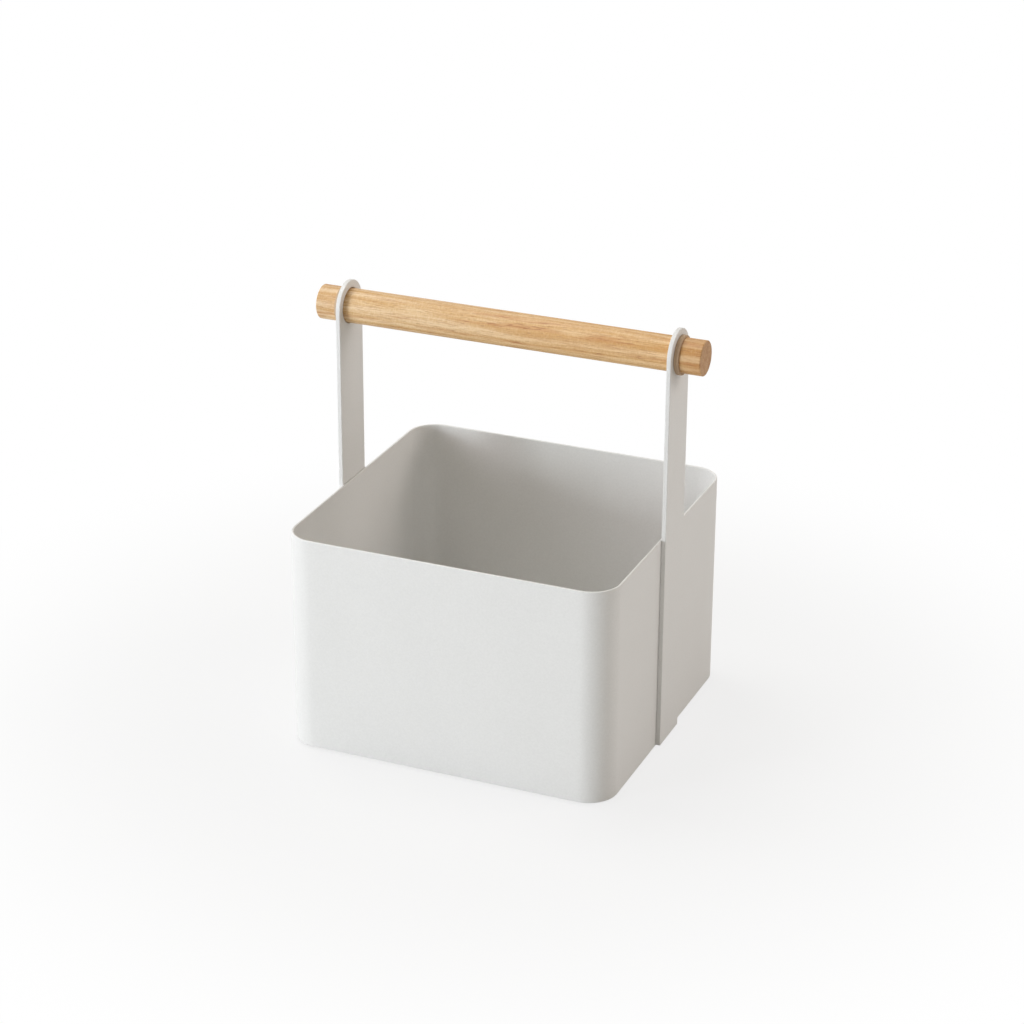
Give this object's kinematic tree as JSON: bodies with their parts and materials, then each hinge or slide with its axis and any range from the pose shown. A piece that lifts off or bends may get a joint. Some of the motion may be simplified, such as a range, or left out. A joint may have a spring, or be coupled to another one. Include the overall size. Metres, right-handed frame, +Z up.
{
  "type": "storage caddy",
  "caption": "Open-topped storage caddy: a rounded box of white coated sheet steel with flat side uprights that carry a turning round wooden handle.",
  "frame": {"origin": "middle of the footprint, on the table that the foot pads stand on", "axes": "+Z up, +X to the right along the handle, front wall towards -Y"},
  "size_m": [0.1884, 0.153, 0.204],
  "materials": {
    "powder_coat": "matte warm white powder coat with a fine texture",
    "handle_wood": "pale oak with fine straight grain, lightly oiled",
    "ring_rubber": "matte tan",
    "foot_rubber": "matte pale grey"
  },
  "bodies": {
    "caddy": {"wall_band": "powder_coat", "base_plate": "powder_coat", "upright_left": "powder_coat", "upright_right": "powder_coat", "foot_pad_front_left": "foot_rubber", "foot_pad_front_right": "foot_rubber", "foot_pad_rear_left": "foot_rubber", "foot_pad_rear_right": "foot_rubber"},
    "handle": {"handle_dowel": "handle_wood", "handle_stop_ring_left": "ring_rubber", "handle_stop_ring_right": "ring_rubber"}
  },
  "joints": [
    {"name": "handle_roll", "type": "hinge", "parent": "caddy", "child": "handle", "pos_m": [0, 0, 0.192], "axis": [1, 0, 0], "continuous": true}
  ]
}
